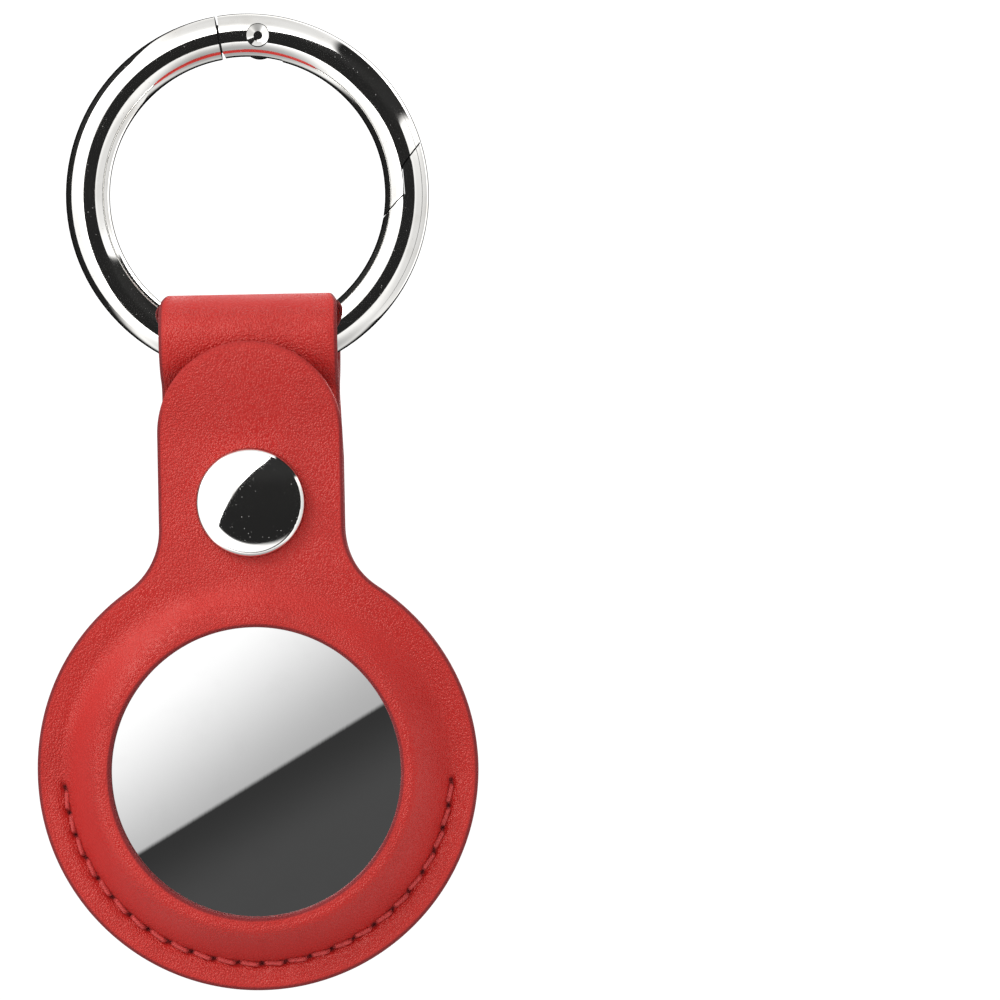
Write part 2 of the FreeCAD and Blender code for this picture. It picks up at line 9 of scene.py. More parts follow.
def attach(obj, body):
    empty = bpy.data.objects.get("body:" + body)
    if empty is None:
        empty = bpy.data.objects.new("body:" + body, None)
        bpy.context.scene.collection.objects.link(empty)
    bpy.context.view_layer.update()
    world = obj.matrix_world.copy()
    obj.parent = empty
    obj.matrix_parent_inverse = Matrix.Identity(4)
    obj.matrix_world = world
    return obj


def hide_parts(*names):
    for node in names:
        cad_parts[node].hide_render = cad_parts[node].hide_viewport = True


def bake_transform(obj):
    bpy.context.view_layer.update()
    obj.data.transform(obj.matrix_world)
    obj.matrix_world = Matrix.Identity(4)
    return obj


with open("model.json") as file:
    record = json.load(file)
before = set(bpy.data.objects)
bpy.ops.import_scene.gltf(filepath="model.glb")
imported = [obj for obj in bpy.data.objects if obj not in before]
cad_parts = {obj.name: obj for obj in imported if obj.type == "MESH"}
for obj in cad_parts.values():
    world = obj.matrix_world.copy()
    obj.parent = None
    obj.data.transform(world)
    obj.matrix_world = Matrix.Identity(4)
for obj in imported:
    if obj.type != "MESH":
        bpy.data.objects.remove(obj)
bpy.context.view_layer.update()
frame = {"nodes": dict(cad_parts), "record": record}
nodes = frame["nodes"]
MM = 0.001

# The leather's sizes, in millimetres, as the CAD has them
BODY_Z = -52.2
BODY_R = 20.0
WINDOW_R = 12.9
FOLD_Z = -52.8
SNAP_Z = -27.95
TAB_TOP = -13.4
TAB_HALF = 8.35
NECK_HALF = 8.3
STRAP_HALF = 8.05
FILLET_R = 6.6
TAPER = 5.8
LEATHER = 1.0
RIM_IN = 0.05
BUMP_FOOT = 17.1
BUMP_SLOPE = 3.0
BUMP_HEIGHT = 4.1
TAB_LIFT = 3.2
TAB_BACK = 3.25
LIFT_FROM = FOLD_Z - 1.1
LIFT_TO = SNAP_Z - 5.05
RISE_FROM = SNAP_Z + 5.45
RISE_TO = TAB_TOP - 1.0
SWING_Z = -13.031409
LOOP_R = 3.528591
LOOP_GAP = 0.1
LOOP_BEND = 2.0
LOOP_JOIN = -18.165883
STRAP_END = -33.15
SEAM_END = 1.35
STITCHES = 24
TAB_RISE = LOOP_R + LEATHER + LOOP_GAP - TAB_BACK

# What the dressed leather adds: softer slopes, rounded edges, a slightly wider window, a thinned and rounded fold
SPREAD = 0.75
OUTER_SLOPE = 3.9
SEAM_R = 17.55
WINDOW_MORE = 0.15
EDGE_R = 0.38
EDGE_SHARE = 0.45
EDGE_TURNS = [math.radians(a) for a in (30, 60, 90)]
FOLD_THIN = 0.5
FOLD_ROUND = 0.45
FOLD_ROUND_FROM = 0.72
END_ROUND = 1.5
BACK_STEP, STEP_IN, STEP_OUT, STEP_END = 0.12, 8.0, 4.0, SNAP_Z - 6.5
STRETCH, STRETCH_SIDE = 2.2, 1.2
FOLD_STRETCH_FROM, FOLD_STRETCH_OVER = 0.45, 0.4
WAVE = 0.07
LONG_WAVE, LONG_SHARE = 0.11, 0.7
SHORT_WAVE, SHORT_SHARE, SHORT_START = 0.33, 0.3, Vector((7, 3, 1))

# How the leather's "edge" value darkens it: near a rim, on a cut edge, inside the pocket, and as painted shade in a
# stitch hole
RIM_SHADE, RIM_WIDE = 0.5, 0.45
CUT_SHADE = 1.0
TAB_LIGHTER, TAB_FADE = 0.42, 4.0
INNER_SHADE = 0.3
HOLE_SHADE = 1.4

# Rows and columns of the leather's meshes
BODY_STEPS, FILLET_STEPS, TAB_STEPS, ROUND_STEPS, NECK_STEPS = 110, 16, 14, 30, 10
FRONT_ROWS, BACK_ROWS, INNER_ROWS = 56, 70, 18
STRAP_STEPS, BEND_STEPS, LOOP_STEPS, TAIL_STEPS = 30, 8, 56, 24
MERGE, SLIVER = 1e-7, 1e-8

# The seam's holes are slanted slits, and the leather is pulled into a groove between them
SLANT = math.radians(20)
SLIT = 0.28
HOLE_REACH, HOLE_LONG, HOLE_WIDE, HOLE_DEPTH = 1.2, 0.42, 0.24, 0.75
PUCKER_REACH = 1.6
GROOVE_DEPTH, GROOVE_WIDE = 0.17, 0.5
SWELL_HEIGHT, SWELL_OFF, SWELL_WIDE, SCALLOP = 0.05, 0.95, 0.4, 0.7
RUN_OUT, RUN_FADE = 0.35, 0.5
END_ANGLE = math.degrees(math.asin(SEAM_END / SEAM_R))
ANGLES = [math.radians(180 + END_ANGLE + (180 - 2 * END_ANGLE) * n / STITCHES) for n in range(STITCHES + 1)]
ANGLE_STEP = ANGLES[1] - ANGLES[0]

# The thread: three plies twisted together
PLIES, PLY_SIDES, PLY_R, PLY_OFF, TWIST = 3, 7, 0.12, 0.1, 2.4
STITCH_STEPS, DIP_SHARE, DIP_DEPTH = 30, 0.16, 0.62
STITCH_RISE, TACK_RISE = 0.02, 0.2
SWAY, SWAY_STEP, SWAY_SIDE, SWAY_START, SWAY_DOWN = 0.10, 1.7, 3.1, 0.4, 0.6
STITCH_PHASE, TACK_PHASE, TACK_DRAW = 0.9, 0.7, 0.9
BACKTACKS = [(STITCHES - 1, 0.42), (STITCHES - 2, 0.4)]


def smooth(t):
    t = min(max(t, 0.0), 1.0)
    return t * t * (3 - 2 * t)


def bell(distance, width):
    return math.exp(-(distance / width) ** 2)


def bump(x, z, spread):
    """The raised middle of a panel, from 0 at its foot to 1."""
    slope = OUTER_SLOPE if spread else BUMP_SLOPE
    return smooth((BUMP_FOOT + spread - math.hypot(x, z - BODY_Z)) / slope)


def flap_level(x, z, spread):
    """How far the front leather's inner face lies from the seam plane."""
    level = TAB_LIFT * smooth((z - LIFT_FROM) / (LIFT_TO - LIFT_FROM))
    level += TAB_RISE * smooth((z - RISE_FROM) / (RISE_TO - RISE_FROM))
    return RIM_IN + level + bump(x, z, spread) * max(BUMP_HEIGHT - level, 0)


def back_level(x, z, spread):
    """How far the back leather's inner face lies from the seam plane."""
    return RIM_IN + bump(x, z, spread) * BUMP_HEIGHT


def back_step(z):
    """How far the back's edge lies inside the front's: over the upper body, not at the seam and the neck."""
    return BACK_STEP * smooth((z - BODY_Z) / STEP_IN) * (1 - smooth((z - STEP_END) / STEP_OUT))


def slit(n):
    """The middle of a hole in the seam, and the way the slanted slit runs."""
    a = ANGLES[n]
    middle = (SEAM_R * math.cos(a), BODY_Z + SEAM_R * math.sin(a))
    return middle, (-math.sin(a + SLANT), math.cos(a + SLANT))


def seam_place(x, z):
    """Where a place lies along the seam, counted in stitches."""
    return (math.atan2(z - BODY_Z, x) % (2 * math.pi) - ANGLES[0]) / ANGLE_STEP


def hole_at(x, z):
    """How far a place lies inside a hole of the seam, from 0 to 1."""
    if abs(math.hypot(x, z - BODY_Z) - SEAM_R) > HOLE_REACH:
        return 0.0
    (hx, hz), (ex, ez) = slit(min(max(round(seam_place(x, z)), 0), STITCHES))
    along = (x - hx) * ex + (z - hz) * ez
    across = (z - hz) * ex - (x - hx) * ez
    return math.exp(-(along / HOLE_LONG) ** 2 - (across / HOLE_WIDE) ** 2)


def pucker(x, z):
    """The groove that the seam is pulled into, deeper at each hole."""
    r = math.hypot(x, z - BODY_Z)
    if abs(r - SEAM_R) > PUCKER_REACH:
        return 0.0
    place = seam_place(x, z)
    ends = smooth((place + RUN_OUT) / RUN_FADE) * smooth((STITCHES + RUN_OUT - place) / RUN_FADE)
    groove = GROOVE_DEPTH * bell(r - SEAM_R, GROOVE_WIDE)
    swell = -SWELL_HEIGHT * bell(abs(r - SEAM_R) - SWELL_OFF, SWELL_WIDE)
    if r > SEAM_R:
        swell *= 1 - SCALLOP * math.cos(2 * math.pi * place)
    return (groove + swell) * ends + HOLE_DEPTH * hole_at(x, z)


# Outlines of the panels
def arc_points(cx, cz, r, a0, a1, count):
    out = []
    for n in range(count):
        a = math.radians(a0 + (a1 - a0) * n / count)
        out.append((cx + r * math.cos(a), cz + r * math.sin(a)))
    return out


def line_points(a, b, count):
    return [(a[0] + (b[0] - a[0]) * n / count, a[1] + (b[1] - a[1]) * n / count) for n in range(count)]


def outline(half, front):
    """The right and left halves of an outline, counterclockwise from the bottom, without what closes the top."""
    reach = BODY_R + FILLET_R
    fx = half + FILLET_R
    fz = math.sqrt(reach ** 2 - fx ** 2)
    meet = math.degrees(math.atan2(fz, fx))
    right = arc_points(0, BODY_Z, BODY_R, -90, meet, BODY_STEPS)
    right += arc_points(fx, BODY_Z + fz, FILLET_R, meet + 180, 180, FILLET_STEPS)
    foot = (half, BODY_Z + fz)
    if front:
        shoulder = (half, TAB_TOP - half)
        right += line_points(foot, shoulder, TAB_STEPS)
        right += arc_points(0, TAB_TOP - half, half, 0, 90, ROUND_STEPS)
    else:
        shoulder = (half, LOOP_JOIN - TAPER)
        corner = (STRAP_HALF, LOOP_JOIN)
        right += line_points(foot, shoulder, NECK_STEPS) + line_points(shoulder, corner, NECK_STEPS) + [corner]
    left = [(-x, z) for x, z in reversed(right[1:])]
    return right, left


def normals(points):
    """Outward normals of a closed outline."""
    out = []
    for n in range(len(points)):
        (x0, z0), (x1, z1) = points[n - 1], points[(n + 1) % len(points)]
        length = math.hypot(x1 - x0, z1 - z0)
        out.append(((z1 - z0) / length, -(x1 - x0) / length))
    return out


def show(name, data):
    obj = bpy.data.objects.new(name, data)
    bpy.context.scene.collection.objects.link(obj)
    return obj


def show_smooth(name, mesh):
    for face in mesh.polygons:
        face.use_smooth = True
    return show(name, mesh)


class Sheet:
    """A leather sheet built from rows of points; points in the same place become one."""

    def __init__(self):
        self.bm = bmesh.new()
        self.edge = self.bm.verts.layers.float.new("edge")
        self.stretch = self.bm.verts.layers.float.new("stretch")

    def vert(self, x, y, z, edge, stretch=0.0):
        v = self.bm.verts.new((x * MM, y * MM, z * MM))
        v[self.edge] = edge
        v[self.stretch] = stretch
        return v

    def join(self, a, b):
        for n in range(len(a) - 1):
            self.bm.faces.new([a[n], a[n + 1], b[n + 1], b[n]])

    def make(self, name):
        bm = self.bm
        bmesh.ops.remove_doubles(bm, verts=bm.verts, dist=MERGE)
        bmesh.ops.dissolve_degenerate(bm, edges=bm.edges, dist=SLIVER)
        bmesh.ops.recalc_face_normals(bm, faces=bm.faces)
        bm.normal_update()
        for v in bm.verts:
            p = v.co / MM
            amount = noise.noise(p * LONG_WAVE) * LONG_SHARE
            amount += noise.noise(p * SHORT_WAVE + SHORT_START) * SHORT_SHARE
            v.co += Vector((0, 1, 0)) * (amount * WAVE * MM)
        mesh = bpy.data.meshes.new(name)
        bm.to_mesh(mesh)
        bm.free()
        return show_smooth(name, mesh)


def rim_shade(distance):
    return RIM_SHADE * (1 - smooth(distance / RIM_WIDE))


def edge_rows(out, inn):
    """Offsets of a rounded cut edge, from the outer face to the inner one."""
    rows = []
    for a in EDGE_TURNS:
        rows.append((EDGE_R * (1 - math.sin(a)), out - EDGE_R * (1 - math.cos(a))))
    for a in reversed(EDGE_TURNS):
        rows.append((EDGE_R * (1 - math.sin(a)), inn + EDGE_R * (1 - math.cos(a))))
    return rows


def panel(sheet, side, points, norms, hole_r, level, rows, joined):
    """A round panel with its neck. Columns run from the middle or the window to the outline; where the panel is joined
    to the strap, its edge is left open."""
    columns = []
    for (px, pz), (nx, nz), goes_on in zip(points, norms, joined):
        length = math.hypot(px, pz - BODY_Z)
        ux, uz = px / length, (pz - BODY_Z) / length
        near = hole_r + EDGE_R if hole_r else 0.0
        ax, az = ux * near, BODY_Z + uz * near
        bx, bz = (px, pz) if goes_on else (px - nx * EDGE_R, pz - nz * EDGE_R)
        width = math.hypot(bx - ax, bz - az)
        column = {"out": [], "edge": [], "in": [], "hole": []}
        for n in range(rows + 1):
            t = n / rows
            x, z = ax + (bx - ax) * t, az + (bz - az) * t
            y = level(x, z, SPREAD) + LEATHER - pucker(x, z)
            rim = min(1 - t, t) * width if hole_r else (1 - t) * width
            # The edge value rises in the stitch holes, where it gives painted shade
            edge = max(0.0 if goes_on else rim_shade(rim), HOLE_SHADE * hole_at(x, z))
            rise = bump(x, z, SPREAD)
            stretch = (STRETCH - STRETCH_SIDE * x / BODY_R) * rise * (1 - rise)
            column["out"].append(sheet.vert(x, side * y, z, edge, stretch))
        for n in range(INNER_ROWS + 1):
            t = 1 - n / INNER_ROWS
            x, z = ax + (bx - ax) * t, az + (bz - az) * t
            column["in"].append(sheet.vert(x, side * level(x, z, 0.0), z, INNER_SHADE))
        if not goes_on:
            out, inn = level(px, pz, SPREAD) + LEATHER, level(px, pz, 0.0)
            shade = CUT_SHADE - TAB_LIGHTER * smooth((pz - TAB_TOP + TAB_HALF) / TAB_FADE)
            for d, y in edge_rows(out, inn):
                column["edge"].append(sheet.vert(px - nx * d, side * y, pz - nz * d, shade))
        if hole_r:
            wx, wz = ux * hole_r, BODY_Z + uz * hole_r
            out, inn = level(wx, wz, SPREAD) + LEATHER, level(wx, wz, 0.0)
            for d, y in reversed(edge_rows(out, inn)):
                column["hole"].append(sheet.vert(wx + ux * d, side * y, wz + uz * d, CUT_SHADE))
        columns.append(column)
    for n, a in enumerate(columns):
        b = columns[(n + 1) % len(columns)]
        sheet.join(a["out"], b["out"])
        sheet.join(a["in"], b["in"])
        if a["edge"] and b["edge"]:
            sheet.join(*([c["out"][-1]] + c["edge"] + [c["in"][0]] for c in (a, b)))
        if hole_r:
            sheet.join(*([c["in"][-1]] + c["hole"] + [c["out"][0]] for c in (a, b)))


def loop_path():
    """Points of the strap's outer and inner faces, seen from the side, from the neck to the strap's end."""
    bend = Vector((LOOP_BEND + RIM_IN, LOOP_JOIN))
    swing = Vector((0.0, SWING_Z))
    slope = (bend - swing).normalized()
    touch = math.atan2(slope.y, slope.x)
    toward = math.atan2(-slope.y, -slope.x)
    path = []
    for n in range(BEND_STEPS + 1):
        a = math.pi + (toward - math.pi) * n / BEND_STEPS
        d = Vector((math.cos(a), math.sin(a)))
        path.append((bend + d * (LOOP_BEND - LEATHER), bend + d * LOOP_BEND))
    for n in range(1, LOOP_STEPS):
        a = touch + (math.pi - 2 * touch) * n / LOOP_STEPS
        d = Vector((math.cos(a), math.sin(a)))
        thick = LEATHER * (1 - FOLD_THIN * smooth(d.y))
        path.append((swing + d * (LOOP_R + thick), swing + d * LOOP_R))
    path += [(Vector((-o.x, o.y)), Vector((-i.x, i.y))) for o, i in reversed(path[:BEND_STEPS + 1])]
    for n in range(1, TAIL_STEPS + 1):
        z = LOOP_JOIN + (STRAP_END - LOOP_JOIN) * n / TAIL_STEPS
        path.append((Vector((-RIM_IN - LEATHER, z)), Vector((-RIM_IN, z))))
    return path


def strap_rim(sheet, half, face, way, turns):
    """One rounded corner of the strap's cut edge, on the side that half's sign gives."""
    verts = []
    for a in turns:
        p = face + way * (1 - math.cos(a))
        x = half - math.copysign(EDGE_R * (1 - math.sin(a)), half)
        verts.append(sheet.vert(x, p.x, p.y, CUT_SHADE))
    return verts


def strap(sheet, xs):
    """The strap from the neck over the ring and down behind the tab."""
    before = None
    path = loop_path()
    for o, i in path:
        half = STRAP_HALF - END_ROUND * smooth(1 + (path[-1][0].y - o.y) / END_ROUND)
        d = (i - o).normalized()
        top = max(-d.y, 0.0) if i.y > LOOP_JOIN else 0.0
        half -= FOLD_ROUND * max((top - FOLD_ROUND_FROM) / (1 - FOLD_ROUND_FROM), 0.0) ** 2
        inward = d * min(EDGE_R, EDGE_SHARE * (i - o).length)
        stretch = smooth((top - FOLD_STRETCH_FROM) / FOLD_STRETCH_OVER)
        across = [x * half / STRAP_HALF for x in xs]
        row = [sheet.vert(x, o.x, o.y, rim_shade(half - EDGE_R - abs(x)), stretch) for x in across]
        row += strap_rim(sheet, -half, o, inward, EDGE_TURNS)
        row += strap_rim(sheet, -half, i, -inward, reversed(EDGE_TURNS))
        row += [sheet.vert(x, i.x, i.y, INNER_SHADE) for x in reversed(across)]
        row += strap_rim(sheet, half, i, -inward, EDGE_TURNS)
        row += strap_rim(sheet, half, o, inward, reversed(EDGE_TURNS))
        row.append(row[0])
        if before:
            sheet.join(before, row)
        before = row
    sheet.bm.faces.new(before[:-1])


# Front leather: one piece in fact, so one mesh that bends where the flap folds
right, left = outline(TAB_HALF, True)
points = right + [(0.0, TAB_TOP)] + left
front = Sheet()
panel(front, -1, points, normals(points), WINDOW_R + WINDOW_MORE, flap_level, FRONT_ROWS, [False] * len(points))
front_leather = front.make("front_leather")

# Back leather: back, neck and strap in one piece
right, left = outline(NECK_HALF, False)
inner_x = STRAP_HALF - EDGE_R
xs = [inner_x - 2 * inner_x * n / STRAP_STEPS for n in range(STRAP_STEPS + 1)]
top = [(x, LOOP_JOIN) for x in xs[1:-1]]
points = right + top + left
norms = normals(points)
points = [(x - nx * back_step(z), z - nz * back_step(z)) for (x, z), (nx, nz) in zip(points, norms)]
norms[len(right) - 1] = (1.0, 0.0)
norms[len(right) + len(top)] = (-1.0, 0.0)
joined = [False] * len(right) + [True] * len(top) + [False] * len(left)
back = Sheet()
panel(back, 1, points, norms, 0.0, back_level, BACK_ROWS, joined)
strap(back, xs)
back_leather = back.make("back_leather")


# Thread: one twisted length per stitch
def ply_tube(verts, faces, path, radius, sides):
    base = len(verts)
    side = None
    for n, p in enumerate(path):
        ahead = path[min(n + 1, len(path) - 1)] - path[max(n - 1, 0)]
        ahead.normalize()
        if side is None:
            side = ahead.orthogonal().normalized()
        side = (side - ahead * side.dot(ahead)).normalized()
        other = ahead.cross(side)
        for k in range(sides):
            a = 2 * math.pi * k / sides
            verts.append(p + side * (radius * math.cos(a)) + other * (radius * math.sin(a)))
    for n in range(len(path) - 1):
        for k in range(sides):
            a, b = base + n * sides + k, base + n * sides + (k + 1) % sides
            faces.append((a, b, b + sides, a + sides))
    faces.append(tuple(base + k for k in reversed(range(sides))))
    faces.append(tuple(base + (len(path) - 1) * sides + k for k in range(sides)))


def stitch(verts, faces, a, b, side, rise, phase):
    """One stitch between two places: out of one hole, over the leather and into the next."""
    spine = []
    for n in range(STITCH_STEPS + 1):
        t = n / STITCH_STEPS
        dip = max(1 - t / DIP_SHARE, 0) + max(1 - (1 - t) / DIP_SHARE, 0)
        y = RIM_IN + LEATHER + rise - DIP_DEPTH * smooth(dip)
        p = a.lerp(b, t)
        spine.append(Vector((p.x, side * y, p.z)))
    up = Vector((0, side, 0))
    out = (b - a).normalized().cross(up)
    for ply in range(PLIES):
        path = []
        for n, p in enumerate(spine):
            turn = phase + 2 * math.pi * (TWIST * n / STITCH_STEPS + ply / PLIES)
            path.append((p + up * (PLY_OFF * math.sin(turn)) + out * (PLY_OFF * math.cos(turn))) * MM)
        ply_tube(verts, faces, path, PLY_R * MM, PLY_SIDES)


def seam(name, side, backtacks):
    """A row of stitches on one side; each backtack lies over a stitch, a little outside it."""
    verts, faces = [], []
    holes = [slit(n) for n in range(STITCHES + 1)]
    places = [Vector((x, 0, z)) for (x, z), way in holes]
    ways = [Vector((x, 0, z)) * SLIT for place, (x, z) in holes]
    for n in range(STITCHES):
        sway = noise.noise(Vector((n * SWAY_STEP, side * SWAY_SIDE, SWAY_START))) * SWAY
        shift = Vector((sway, 0, sway * SWAY_DOWN))
        a, b = places[n] + ways[n] + shift, places[n + 1] - ways[n + 1] + shift
        stitch(verts, faces, a, b, side, STITCH_RISE, n * STITCH_PHASE)
    for first, offset in backtacks:
        outward = (places[first] - Vector((0, 0, BODY_Z))).normalized() * offset
        a, b = places[first] + outward, places[first + 1] + outward * TACK_DRAW
        stitch(verts, faces, a, b, side, TACK_RISE, first * TACK_PHASE)
    mesh = bpy.data.meshes.new(name)
    mesh.from_pydata([tuple(v) for v in verts], [], faces)
    return show_smooth(name, mesh)


needle = seam("front_stitches", -1, [])
bobbin = seam("back_stitches", 1, BACKTACKS)


# Shader nodes
class NodeTree:
    """Adds and links shader nodes; a value is a socket or a number."""

    def __init__(self, tree):
        self.tree = tree

    def add(self, kind, **values):
        node = self.tree.nodes.new(kind)
        for key, value in values.items():
            setattr(node, key, value)
        return node

    def link(self, a, b):
        self.tree.links.new(a, b)

    def span(self, value, a, b, to_a, to_b):
        """A smooth step: to_a up to a, to_b from b on."""
        node = self.add("ShaderNodeMapRange", interpolation_type="SMOOTHSTEP")
        self.link(value, node.inputs["Value"])
        for key, number in (("From Min", a), ("From Max", b), ("To Min", to_a), ("To Max", to_b)):
            node.inputs[key].default_value = number
        return node.outputs["Result"]

    def math(self, kind, a, b=0.0):
        node = self.add("ShaderNodeMath", operation=kind)
        for socket, value in zip(node.inputs, (a, b)):
            if isinstance(value, (int, float)):
                socket.default_value = value
            else:
                self.link(value, socket)
        return node.outputs["Value"]

    def plus(self, a, b):
        return self.math("ADD", a, b)

    def minus(self, a, b):
        return self.math("SUBTRACT", a, b)

    def times(self, a, b):
        return self.math("MULTIPLY", a, b)

    def over(self, a, b):
        return self.math("DIVIDE", a, b)

    def larger(self, a, b):
        return self.math("MAXIMUM", a, b)

    def within(self, value, low, high):
        return self.math("MINIMUM", self.larger(value, low), high)

    def length(self, a, b):
        return self.math("SQRT", self.plus(self.times(a, a), self.times(b, b)))

    def leaning(self, u, part_u, v, part_v):
        """How far a place (u, v) lies along a slanted way, to the right and down."""
        return self.minus(self.times(u, part_u), self.times(v, part_v))

    def either(self, share, a, b):
        """a where share is 1, b where it is 0."""
        return self.plus(self.times(share, a), self.times(self.minus(1.0, share), b))


class Material(NodeTree):
    """A material with a Principled shader, textured by the object's own coordinates."""

    def __init__(self, name):
        self.material = bpy.data.materials.new(name)
        self.material.use_nodes = True
        super().__init__(self.material.node_tree)
        self.shader = self.tree.nodes["Principled BSDF"]
        self.place = self.add("ShaderNodeTexCoord").outputs["Object"]

    def stretched(self, scale):
        node = self.add("ShaderNodeMapping")
        node.inputs["Scale"].default_value = scale
        self.link(self.place, node.inputs["Vector"])
        return node.outputs["Vector"]

    def noise(self, scale, detail=4.0, rough=0.55, where=None):
        node = self.add("ShaderNodeTexNoise")
        node.inputs["Scale"].default_value = scale
        node.inputs["Detail"].default_value = detail
        node.inputs["Roughness"].default_value = rough
        self.link(where or self.place, node.inputs["Vector"])
        return node.outputs["Fac"]

    def cells(self, scale, where=None):
        node = self.add("ShaderNodeTexVoronoi", feature="F1")
        node.inputs["Scale"].default_value = scale
        self.link(where or self.place, node.inputs["Vector"])
        return node.outputs["Distance"]

    def attribute(self, name):
        return self.add("ShaderNodeAttribute", attribute_name=name).outputs["Fac"]

    def mix(self, factor, a, b):
        node = self.add("ShaderNodeMix", data_type="RGBA")
        self.link(factor, node.inputs["Factor"])
        for key, value in (("A", a), ("B", b)):
            socket = [s for s in node.inputs if s.name == key and s.type == "RGBA"][0]
            if isinstance(value, tuple):
                socket.default_value = value + (1.0,)
            else:
                self.link(value, socket)
        return [s for s in node.outputs if s.type == "RGBA"][0]

    def bump(self, height, distance, strength, after=None):
        node = self.add("ShaderNodeBump")
        node.inputs["Distance"].default_value = distance
        node.inputs["Strength"].default_value = strength
        self.link(height, node.inputs["Height"])
        if after:
            self.link(after, node.inputs["Normal"])
        return node.outputs["Normal"]

    def set(self, **values):
        for key, value in values.items():
            socket = self.shader.inputs[key.replace("_", " ")]
            if isinstance(value, (int, float, tuple)):
                socket.default_value = value
            else:
                self.link(value, socket)
        return self.material


# Materials. Texture scales are per metre and bump depths in metres. A span is given by where it starts and ends, and
# its values there. Most of a noise lies within USUAL
USUAL = (0.3, 0.7)
EVEN = (*USUAL, 0.0, 1.0)

# Leather
PEBBLES, SMALL_PEBBLES, FINE_GRAIN, PATCHES, CLOUDS = 5400.0, 10500.0, 9000.0, 160.0, 45.0
WARP_SCALE, WARP = 1700.0, 0.00008
PEBBLE_SHAPE, SMALL_SHARE = (0.15, 0.75, 1.0, 0.0), -0.35
PATCH_HEIGHT, STRETCHED_HEIGHT = (*USUAL, 0.55, 1.0), (0.1, 0.9, 1.0, 0.3)
PEBBLE_DEPTH, PEBBLE_FORCE, FINE_DEPTH, FINE_FORCE = 0.00008, 0.85, 0.00001, 0.25
RED_DEEP, RED_LIGHT = (0.49, 0.014, 0.012), (0.55, 0.019, 0.016)
# The grain's creases are mixed towards a darker red: painted shade
CREASE_SHADE, RED_CREASE_SHADE = (0.0, 0.5, 0.28, 0.0), (0.38, 0.010, 0.010)
CUT, RED_CUT = (0.4, 1.0, 0.0, 0.85), (0.16, 0.010, 0.015)
# Stitch holes are mixed towards a near-black red: painted shade in the holes
HOLE_SHADE_SPAN, RED_HOLE_SHADE = (1.0, 1.35, 0.0, 0.8), (0.10, 0.006, 0.009)
LEATHER_ROUGH, STRETCH_ROUGH, EDGE_ROUGH = (0.25, 0.75, 0.28, 0.38), 0.25, 0.45
LEATHER_TINT = (1.0, 0.93, 0.82, 1.0)

# Thread
FIBRES, FIBRE_LONG, FIBRE_DEPTH, FIBRE_FORCE = 5200.0, (1.0, 1.0, 2.6), 0.00003, 0.5
THREAD_DEEP, THREAD_LIGHT, THREAD_ROUGH = (0.38, 0.018, 0.018), (0.66, 0.070, 0.064), (*USUAL, 0.42, 0.62)

# Metal
HAZE, COVER_HAZE, CASTING, DUST, DUST_PATCHES, SCRATCHES = 320.0, 400.0, 60.0, 2300.0, 500.0, 2600.0
HAZE_TINT, HAZE_ROUGH, SCRATCH_LONG = (0.45, 0.75, 0.0, 1.0), (0.3, 0.75), (1.0, 1.0, 0.08)
CAST_DEPTH, CAST_FORCE, SCRATCH_DEPTH, POLISH_DEPTH, POLISH_FORCE = 0.0004, 0.35, 0.000004, 0.000002, 0.01
DUST_SPECK, DUST_SPREAD = (0.05, 0.13, 1.0, 0.0), (0.45, 0.6, 0.0, 0.6)
DUST_COLOUR, DUST_ROUGH = (0.30, 0.28, 0.26), 0.4
METAL_RIM_TINT = (0.05, 0.05, 0.05, 1.0)
COVER_BRIGHT, COVER_DULL = (0.97, 0.97, 0.97), (0.95, 0.95, 0.95)
CROWN = (0.00066, 0.00068, 1.0, 0.0)

# Plastic and floor
TONES, SKIN, SKIN_DEPTH, SKIN_FORCE = 700.0, 6000.0, 0.000006, 0.3
SMOOTHER, ROUGHER = 0.8, 1.2
FLOOR_CLOUDS, FLOOR_DEEP, FLOOR_LIGHT = 6.0, (0.86, 0.86, 0.85), (0.9, 0.9, 0.9)


